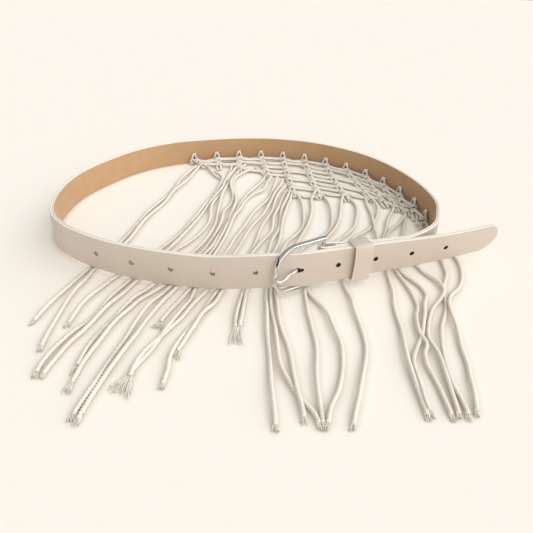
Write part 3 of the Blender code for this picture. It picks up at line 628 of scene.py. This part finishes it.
def addStudio():
    bm = bmesh.new()
    bmesh.ops.create_grid(bm, x_segments=1, y_segments=1, size=0.5 * studioSizes["floorSide"])
    mesh = bpy.data.meshes.new("studioFloor")
    bm.to_mesh(mesh)
    bm.free()
    glow = studioSizes["floorGlow"]
    paper, tree, shader = startMaterial("backlitPaper", {"Roughness": 1.0,
                                                        "Specular IOR Level": 0.0,
                                                        "Emission Strength": glow})
    tint = linear(studioSizes["floorColour"])
    shade = linear(studioSizes["shadeColour"])
    # Painted contact shadow: near the cords and strap the floor's colour and glow turn to the shade
    # colour.
    openHere = openness(tree, studioSizes["shadeReach"], 1.0)
    colour = mixColours(tree, openHere, (*[(1.0 - glow) * c for c in shade[:3]], 1.0),
                        (*[(1.0 - glow) * c for c in tint[:3]], 1.0))
    tree.links.new(colour, shader.inputs["Base Color"])
    tree.links.new(mixColours(tree, openHere, shade, tint), shader.inputs["Emission Color"])
    mesh.materials.append(paper)
    floor = bpy.data.objects.new("studioFloor", mesh)
    bpy.context.scene.collection.objects.link(floor)
    world = bpy.data.worlds.new("studioSky")
    world.use_nodes = True
    back = world.node_tree.nodes["Background"]
    back.inputs["Color"].default_value = (1.0, 1.0, 1.0, 1.0)
    back.inputs["Strength"].default_value = studioSizes["skyStrength"]
    tree = world.node_tree
    # Mirrors see a darker studio with a bright ceiling, so that the metal has contrast.
    direction = addNode(tree, "ShaderNodeTexCoord").outputs["Generated"]
    apart = addNode(tree, "ShaderNodeSeparateXYZ", {}, {"Vector": direction})
    ramp = addNode(tree, "ShaderNodeValToRGB")
    stops = ramp.color_ramp.elements
    stops[0].position = 0.0
    stops[0].color = (0.02, 0.02, 0.02, 1.0)
    stops[1].position = 1.0
    stops[1].color = (0.85, 0.85, 0.84, 1.0)
    for position, level in ((0.30, 0.02), (0.42, 0.62), (0.62, 0.26)):
        stop = stops.new(position)
        stop.color = (level, level, level, 1.0)
    tree.links.new(apart.outputs["Z"], ramp.inputs["Fac"])
    mirrored = addNode(tree, "ShaderNodeBackground", {"Strength": 1.0},
                       {"Color": ramp.outputs["Color"]})
    ray = addNode(tree, "ShaderNodeLightPath").outputs["Is Glossy Ray"]
    both = addNode(tree, "ShaderNodeMixShader")
    tree.links.new(ray, both.inputs[0])
    tree.links.new(back.outputs["Background"], both.inputs[1])
    tree.links.new(mirrored.outputs["Background"], both.inputs[2])
    tree.links.new(both.outputs["Shader"], tree.nodes["World Output"].inputs["Surface"])
    bpy.context.scene.world = world
    for name, lamp in studioSizes["lamps"].items():
        light = bpy.data.lights.new(name, "SUN")
        light.energy = lamp["strength"]
        light.angle = math.radians(lamp["spread"])
        light.specular_factor = 0.5
        made = bpy.data.objects.new(name, light)
        made.rotation_euler = (-Vector(lamp["from"])).to_track_quat("-Z", "Y").to_euler()
        bpy.context.scene.collection.objects.link(made)
    bpy.context.scene.view_settings.view_transform = "Standard"


addCamera()
addStudio()
print("camera and studio set")


# Strap and lining.
def edgeHeights(distance):
    sizes = beltSizes
    if distance >= sizes["tipRound"]:
        return 0.0, sizes["width"]
    nose = sizes["tipNose"] * sizes["width"]
    lowShare = 1.0 - distance / sizes["tipRound"]
    highShare = max(0.0, 1.0 - distance / (sizes["tipUpperShare"] * sizes["tipRound"]))
    low = nose - nose * math.sqrt(max(0.0, 1.0 - lowShare ** 2))
    high = nose + (sizes["width"] - nose) * math.sqrt(max(0.0, 1.0 - highShare ** 2))
    flat = 0.5 * sizes["tipFlat"]
    return min(low, nose - flat), max(high, nose + flat)


def strapSection(low, high, near, far, radius):
    out = []
    corners = ((near + radius, low + radius, 2), (far - radius, low + radius, 3),
               (far - radius, high - radius, 0), (near + radius, high - radius, 1))
    for depth, height, quarter in corners:
        for k in range(4):
            turn = 0.5 * math.pi * (quarter + k / 3)
            out.append((depth + radius * math.cos(turn), height + radius * math.sin(turn)))
    return out


def strapStations(end):
    tip = [0.0, 0.25, 0.8, 1.7, 3.0, 4.6, 6.4, 8.4, 10.6, 13.0]
    body = np.linspace(15.0, foldAt - 6.0, int((foldAt - 21.0) / beltSizes["step"]))
    fold = np.linspace(foldAt - 5.0, beltRoute.length, 48)
    marks = [*tip, *body, *fold]
    return [d for d in marks if d < end - 0.3] + [end]


def beltSkin(name, near, thickness, end, faceMaterial, node, painted):
    sizes = beltSizes
    places = []
    marks = strapStations(end)
    for distance in marks:
        low, high = edgeHeights(distance)
        radius = min(sizes["edgeRound"], 0.48 * thickness)
        point = beltRoute.point(distance)
        inward = beltRoute.inward(distance)
        lift = beltRoute.read(distance, 2)
        lean = beltRoute.read(distance, 3) / sizes["width"]
        ring = []
        for depth, height in strapSection(low, high, near, near + thickness, radius):
            spot = point + inward * (depth - lean * height)
            ring.append((spot[0], spot[1], lift + height))
        places.append(ring)
    bm = bmesh.new()
    faces = gridSkin(bm, places)
    bm.normal_update()
    for face in faces:
        flat = abs(face.normal.z) < painted and len(face.verts) == 4
        face.material_index = 0 if flat else 1
    return finishPiece(bm, name, (faceMaterial, paintedEdge, cutLeather), 38, (node,))


def strapMatrix(distance, height, depth=0.0):
    inward = beltRoute.inward(distance)
    lean = beltRoute.read(distance, 3) / beltSizes["width"]
    spot = beltRoute.point(distance) + inward * (depth - lean * height)
    along = Vector((*beltRoute.heading(distance), 0.0))
    deep = Vector((*inward, 0.0))
    up = deep.cross(along)
    if up.z < 0.0:
        up = -up
        along = -along
    turn = Matrix((along, up, deep)).transposed().to_4x4()
    place = Vector((spot[0], spot[1], beltRoute.read(distance, 2) + height)) * mm
    return Matrix.Translation(place) @ turn


def holeCutters(first, last, withMounts=False):
    sizes = beltSizes
    bm = bmesh.new()
    for k in range(first, last):
        distance = sizeHolesAt[k]
        made = bmesh.ops.create_cone(bm, cap_ends=True, segments=24,
                                     radius1=0.5 * sizes["sizeHole"] * mm,
                                     radius2=0.5 * sizes["sizeHole"] * mm, depth=4.8 * mm)
        stretch = 2.2 if k == sizes["prongHole"] else 1.0
        bmesh.ops.scale(bm, vec=(stretch, 1.0, 1.0), verts=made["verts"])
        bmesh.ops.transform(bm, verts=made["verts"],
                            matrix=strapMatrix(distance, 0.5 * sizes["width"], 0.9))
    for distance in mountsAt if withMounts else ():
        made = bmesh.ops.create_cone(bm, cap_ends=True, segments=16,
                                     radius1=0.5 * sizes["mountHole"] * mm,
                                     radius2=0.5 * sizes["mountHole"] * mm, depth=6.0 * mm)
        bmesh.ops.transform(bm, verts=made["verts"],
                            matrix=strapMatrix(distance, sizes["mountHeight"], 1.5))
    return bm


def slotCutter():
    bm = bmesh.new()
    made = bmesh.ops.create_cube(bm, size=1.0)
    bmesh.ops.scale(bm, vec=(11.2 * mm, 4.2 * mm, 9.0 * mm), verts=made["verts"])
    inward = loopRoute.inward(barAt)
    along = Vector((*loopRoute.heading(barAt), 0.0))
    deep = Vector((*inward, 0.0))
    up = Vector((0.0, 0.0, 1.0))
    centre = barSpot + 1.4 * loopRoute.heading(barAt) + 0.7 * inward
    height = beltSizes["frameLift"] + 0.5 * beltSizes["width"]
    turn = Matrix((along, up, deep)).transposed().to_4x4()
    place = Vector((centre[0], centre[1], height)) * mm
    bmesh.ops.transform(bm, matrix=Matrix.Translation(place) @ turn, verts=bm.verts[:])
    return bm


strapPiece = beltSkin("strapLeather", 0.0, beltSizes["leather"], beltRoute.length, outerLeather,
                      "strap", 0.6)
# The doubled holes' walls get the darker copy, painted shade.
doubled = beltSizes["prongHole"] + 1
cutAway(strapPiece, holeCutters(0, doubled), "doubledHoles", shadedCut)
cutAway(strapPiece, holeCutters(doubled, beltSizes["sizeHoles"], True), "openHoles", cutLeather)
cutAway(strapPiece, slotCutter(), "prongSlot", cutLeather)
liningPiece = beltSkin("strapLining", beltSizes["liningFrom"], beltSizes["lining"], foldAt - 8.0,
                       tanLining, "lining", 0.6)
cutAway(liningPiece, holeCutters(0, doubled), "doubledHoles", shadedCut)
cutAway(liningPiece, holeCutters(doubled, beltSizes["sizeHoles"], True), "openHoles", cutLeather)
print("strap and lining made")

# Buckle frame and prong.
buckleSizes = {
    "band": 2.6,
    "bandDepth": 3.6,
    "bar": 2.8,
    "reach": 35.2,
    "inner": 29.0,
    "topCorner": 17.0,
    "lowCorner": 9.0,
    "overrun": 1.6,
    "clear": 3.3,
    "setBack": 0.03,
    "prong": 2.2,
    "prongWidth": 2.6,
    "prongDrop": 2.6,
}


def makeBuckle():
    sizes = buckleSizes
    floor = beltSizes["floor"]
    curve = loopRoute.offset(barAt + sizes["reach"], -0.5 * sizes["bandDepth"] - sizes["clear"])
    along = curve - barSpot
    length = float(np.linalg.norm(along))
    along = along / length
    facing = np.array([-along[1], along[0]])
    if np.dot(facing, loopRoute.inward(barAt)) > 0.0:
        facing = -facing
    low = beltSizes["cordLift"] + 0.5 * sizes["band"] + 0.1 + floor
    high = low + sizes["inner"] + sizes["band"]
    corner = sizes["lowCorner"]
    line = [(t, low) for t in np.linspace(-sizes["overrun"], length - corner - 1.0, 12)]
    for turn in np.linspace(0.0, 0.5 * math.pi, 14):
        line.append((length - corner * (1.0 - math.sin(turn)),
                     low + corner * (1.0 - math.cos(turn))))
    corner = sizes["topCorner"]
    for turn in np.linspace(0.0, 0.5 * math.pi, 20):
        line.append((length - corner * (1.0 - math.cos(turn)),
                     high - corner * (1.0 - math.sin(turn))))
    line += [(t, high) for t in np.linspace(length - corner - 1.0, -sizes["overrun"], 12)]
    points = []
    for t, height in line:
        back = sizes["setBack"] * (height - low) * t / length
        spot = barSpot + t * along - back * facing
        points.append((*spot, height))
    section = roundedSection(sizes["band"], sizes["bandDepth"], 0.75, 3)
    swell = np.ones(len(points))
    swell[[0, -1]] = 0.75
    swell[[1, -2]] = 0.97
    bm = bmesh.new()
    sweepBar(bm, points, section, (*facing, 0.0), swell)
    made = bmesh.ops.create_cone(bm, cap_ends=True, segments=20, radius1=0.5 * sizes["bar"] * mm,
                                 radius2=0.5 * sizes["bar"] * mm, depth=(high - low) * mm)
    bmesh.ops.translate(bm, verts=made["verts"],
                        vec=Vector((barSpot[0], barSpot[1], 0.5 * (low + high))) * mm)
    return finishPiece(bm, "buckleFrame", (frameMetal,), 40, ("buckle_frame",))


def makeProng():
    sizes = buckleSizes
    inward = loopRoute.inward(barAt)
    along = loopRoute.heading(barAt)
    offsetBar = beltSizes["secondLayer"] + beltSizes["foldRadius"]
    height = beltSizes["frameLift"] + 0.5 * beltSizes["width"] + beltSizes["floor"]
    front = -0.5 * sizes["bandDepth"] - sizes["clear"] - 0.5 * sizes["bandDepth"]
    front += -0.3 - 0.5 * sizes["prong"]
    hole = beltSizes["barBehindHole"]
    shaft = sizes["reach"] - hole
    rows = ((1.9, offsetBar - 0.6, 0.0), (6.0, offsetBar - 1.3, 0.0), (hole - 3.3, 4.7, 0.0),
            (hole + 3.1, -1.9, 0.0), (hole + 0.45 * shaft, -3.9, 0.35),
            (hole + 0.72 * shaft, front + 0.25, 0.75), (sizes["reach"] + 0.6, front, 1.0))
    points = []
    for t, depth, drop in rows:
        spot = loopRoute.offset(barAt + t, depth)
        if t < 7.0:
            spot = barSpot + t * along + (depth - offsetBar) * inward
        points.append((*spot, height - sizes["prongDrop"] * drop))
    curve = smoothRows(points, 0.8)
    count = len(curve)
    swell = np.interp(np.arange(count), (0, 0.75 * count, count - 4, count - 2, count - 1),
                      (1.0, 0.95, 0.9, 0.75, 0.45))
    bm = bmesh.new()
    sweepBar(bm, curve, roundedSection(sizes["prong"], sizes["prongWidth"], 0.8, 3),
             (0, 0, 1), swell)
    ring = []
    for turn in np.linspace(0.0, 2.0 * math.pi, 28, endpoint=False):
        spot = barSpot + 2.3 * (math.cos(turn) * along + math.sin(turn) * inward)
        ring.append((*spot, height))
    sweepBar(bm, ring, roundedSection(1.1, sizes["prongWidth"], 0.4, 2), (0, 0, 1), closed=True)
    return finishPiece(bm, "buckleProng", (prongMetal,), 40, ("prong",))


makeBuckle()
makeProng()
print("buckle made")

# Keeper: a leather ring that stands a little proud of the strap in front.
keeperSizes = {
    "wall": 1.8,
    "width": 13.0,
    "standOff": 2.0,
    "fromBar": 18.2,
    "bulge": 0.9,
    "clear": 0.6,
}


def makeKeeper():
    sizes = keeperSizes
    distance = barAt - 0.5 * sizes["width"] - sizes["fromBar"]
    inward = np.array([*beltRoute.inward(distance), 0.0])
    lean = beltRoute.read(distance, 3) / beltSizes["width"]
    half = 0.5 * beltSizes["width"]
    spot = beltRoute.point(distance) - inward[:2] * lean * half
    origin = np.array([*spot, beltRoute.read(distance, 2) + half])
    along = np.array([*beltRoute.heading(distance), 0.0])
    up = -inward * lean + np.array([0.0, 0.0, 1.0])
    up = up / np.linalg.norm(up)
    back = beltSizes["secondLayer"] + 3.1 + sizes["clear"]
    front = -sizes["standOff"]
    tall = 2.0 * (half + sizes["clear"])
    line = roundedSection(back - front + sizes["wall"], tall + sizes["wall"], 2.1, 5)
    middle = 0.5 * (back + front)
    dense = []
    for k, (a, b) in enumerate(line):
        nextA, nextB = line[(k + 1) % len(line)]
        parts = max(1, int(math.hypot(nextA - a, nextB - b) / 2.0))
        for j in range(parts):
            dense.append((a + (nextA - a) * j / parts, b + (nextB - b) * j / parts))
    points = []
    for a, b in dense:
        swell = max(0.0, 1.0 - (b / half) ** 2) * (sizes["bulge"] if a < 0.0 else 0.0)
        points.append(origin + (middle + a - swell) * inward + b * up)
    section = roundedSection(sizes["wall"], sizes["width"], 0.5, 3)
    bm = bmesh.new()
    faces = sweepBar(bm, points, section, along, closed=True)
    bm.normal_update()
    for face in faces:
        face.material_index = 1 if abs(face.normal.dot(Vector(along))) > 0.6 else 0
    return finishPiece(bm, "leatherKeeper", (keeperLeather, paintedEdge), 38, ("keeper",))


makeKeeper()
print("keeper made")

# Cord work.
cordSizes = {
    "radius": 1.5,
    "netRadius": 1.3,
    "pitch": 5.4,
    "wallClear": 3.6,
    "rungPitch": 10.0,
    "rungShift": 1.3,
    "rungBow": 2.3,
    "rungApart": 1.15,
    "rise": 4.2,
    "riseWithin": 11.0,
}


def wallHeight(gap):
    return cordSizes["rise"] * math.exp(-max(0.0, gap) / cordSizes["riseWithin"])


def netColumns():
    tops = [beltRoute.offset(distance, cordSizes["wallClear"] + 1.6) for distance in mountsAt]
    feet = [planPoint(across, deep) for across, deep in netFoot]
    return tops, feet


def addKnot(bm, centre, way, half=3.1, bars=3, spacing=1.9, height=1.6):
    way = way / np.linalg.norm(way)
    side = np.array([-way[1], way[0]])
    for k in range(bars):
        middle = centre[:2] + way * spacing * (k - 0.5 * (bars - 1))
        arch = []
        for turn in np.linspace(-0.12 * math.pi, 1.12 * math.pi, 9):
            skew = 0.7 * math.cos(turn) * (1.0 if k % 2 else -1.0)
            spot = middle + side * half * math.cos(turn) + way * skew
            arch.append((*spot, centre[2] + height * math.sin(turn)))
        layRope(bm, arch, 1.15, 6.0, random.uniform(0.0, 6.0), around=8, step=0.9, groove=0.16,
                up=(*way, 0.0))


def makeNet():
    tops, feet = netColumns()
    sizes = cordSizes
    bm = bmesh.new()
    rungRows = []
    for k in range(len(tops)):
        way = feet[k] - tops[k]
        length = float(np.linalg.norm(way))
        way = way / length
        side = np.array([-way[1], way[0]])
        for hand in (-1.0, 1.0):
            line = []
            for reach in np.arange(-1.0, length + 4.0, 3.0):
                weave = 1.5 + 0.5 * math.cos(reach * 2.0 * math.pi / 20.0)
                spot = tops[k] + way * reach + side * hand * weave
                line.append((*spot, 1.5 + wallHeight(reach) + 0.25 * hand))
            layRope(bm, line, sizes["netRadius"], sizes["pitch"], random.uniform(0.0, 6.0),
                    around=9, step=0.9)
        rungRows.append((way, length))
    for k in range(len(tops) - 1):
        short = min(rungRows[k][1], rungRows[k + 1][1])
        rows = max(1, int(short / sizes["rungPitch"] - 0.35))
        for row in range(rows + 1):
            shift = sizes["rungShift"] * (1.0 if row % 2 == 0 else -1.0)
            reach = (row + 0.35) * sizes["rungPitch"] + shift
            ends = []
            for j in (0, 1):
                stretch = rungRows[k + j][1] / short if rows < 3 else 1.0
                ends.append(tops[k + j] + rungRows[k + j][0] * reach * stretch)
            down = 0.5 * (rungRows[k][0] + rungRows[k + 1][0])
            bow = sizes["rungBow"] * (1.0 if (row + k) % 2 == 0 else -1.0)
            for hand in (-1.0, 1.0):
                line = []
                for share in np.linspace(0.0, 1.0, 9):
                    spot = ends[0] * (1.0 - share) + ends[1] * share
                    sag = bow * 4.0 * share * (1.0 - share) + hand * sizes["rungApart"]
                    height = 1.7 + wallHeight(reach) + 0.5 * (2.0 * share - 1.0) ** 2
                    line.append((*(spot + down * sag), height))
                layRope(bm, line, 1.3, sizes["pitch"], random.uniform(0.0, 6.0), around=8,
                        step=0.9)
    for k in range(len(tops)):
        way, length = rungRows[k]
        neighbours = [rungRows[j][1] for j in (k - 1, k + 1) if 0 <= j < len(tops)]
        short = min(length, max(neighbours))
        for row in range(max(1, int(short / sizes["rungPitch"] - 0.35)) + 1):
            shift = sizes["rungShift"] * (1.0 if row % 2 == 0 else -1.0)
            reach = (row + 0.35) * sizes["rungPitch"] + shift
            if reach > length:
                continue
            spot = tops[k] + way * reach
            addKnot(bm, np.array([*spot, 1.7 + wallHeight(reach)]), way)
    return finishPiece(bm, "knottedNet", (netCotton,), None, ("fringe",))


def makeMountLoops():
    sizes = cordSizes
    bm = bmesh.new()
    for k, distance in enumerate(mountsAt):
        lift = beltRoute.read(distance, 2)
        hole = lift + beltSizes["mountHeight"]
        for hand in (-1.0, 1.0):
            rows = []
            for share, depth, height in ((0.12, 1.2, hole), (0.16, 3.4, hole + 0.5),
                                         (0.22, 4.6, hole + 0.2), (0.5, 4.9, hole - 3.2),
                                         (0.85, 5.2, hole - 6.3), (1.0, 6.6, hole - 7.7),
                                         (0.8, 10.0, 2.4)):
                spot = beltRoute.offset(distance + hand * 4.2 * share, depth)
                rows.append((*spot, height))
            layRope(bm, smoothRows(np.array(rows), 0.8), 1.35, 7.0, random.uniform(0.0, 6.0),
                    around=9, step=0.6, up=(*beltRoute.heading(distance), 0.0))
        addKnot(bm, np.array([*beltRoute.offset(distance, 1.0), hole]),
                beltRoute.inward(distance), 0.9, 2, 1.4, 0.9)
    for depth, height, phase in ((6.0, 3.3, 0.0), (8.0, 2.2, 1.5)):
        line = []
        for distance in np.arange(mountsAt[0] - 5.0, mountsAt[-1] + 6.0, 2.5):
            wave = math.cos((distance - mountsAt[0]) * 2.0 * math.pi / beltSizes["mountPitch"])
            spot = beltRoute.offset(distance, depth - 0.6 * wave)
            line.append((*spot, height + 0.7 * wave))
        layRope(bm, line, 1.4, sizes["pitch"], phase, around=9, step=0.8)
    return finishPiece(bm, "mountLoops", (netCotton,), None, ())


def cordLine(way, number):
    below = np.array(cameraSizes["place"][:2])
    curve = smoothRows(np.array(way, float) + below, 2.5)
    strapPlan = loopRoute.rows[:, :2]
    phase = 2.7 * number
    line = []
    for k, spot in enumerate(curve):
        gap = float(np.min(np.linalg.norm(strapPlan - spot, axis=1)))
        free = min(1.0, max(0.0, (gap - 7.0) / 12.0)) * min(1.0, (len(curve) - 1 - k) / 8.0)
        wave = 0.5 + 0.5 * math.sin(0.21 * k + phase)
        drift = 0.35 * free * math.sin(0.31 * k + phase)
        line.append((spot[0] + drift, spot[1], 1.5 + 1.6 * free * wave))
    return line


def addFray(bm, line, number, tuft):
    tip = np.array(line[-1])
    way = tip - np.array(line[-3])
    way = way / np.linalg.norm(way)
    side = np.array([-way[1], way[0], 0.0])
    for k in range(tuft["fibres"]):
        spread = random.uniform(-1.0, 1.0)
        reach = random.uniform(0.5, 1.0) * tuft["length"]
        rows = []
        for share in np.linspace(0.0, 1.0, 6):
            out = tuft["spread"] * spread * reach * share ** 1.6
            curl = 0.25 * math.sin(5.0 * share + k + number)
            spot = tip - way * 2.5 + way * (reach + 2.5) * share + side * (0.9 * spread + out + curl)
            rows.append((spot[0], spot[1], 1.4 - 0.9 * share + 0.5 * random.random()))
        layRope(bm, rows, 0.42, 4.0, 0.0, 2, 6, 1.4, groove=0.3, swell=(1.0, 0.9, 0.5))


def makeCords():
    groups = (("looseCordsLeft", 0, 10), ("looseCordsMiddle", 10, 20), ("looseCordsRight", 20, 28))
    for name, first, last in groups:
        bm = bmesh.new()
        for number in range(first, last):
            kind, *way = cordWays[number]
            tuft = frayTufts[kind]
            line = evenly(cordLine(way, number), 2.5)[0]
            line = line[:-int(round(tuft["length"] / 2.5))]
            layRope(bm, line, cordSizes["radius"], cordSizes["pitch"], random.uniform(0.0, 6.0))
            addFray(bm, line, number, tuft)
        finishPiece(bm, name, (looseCotton,), None, ())


makeNet()
makeMountLoops()
makeCords()
print("cords made")
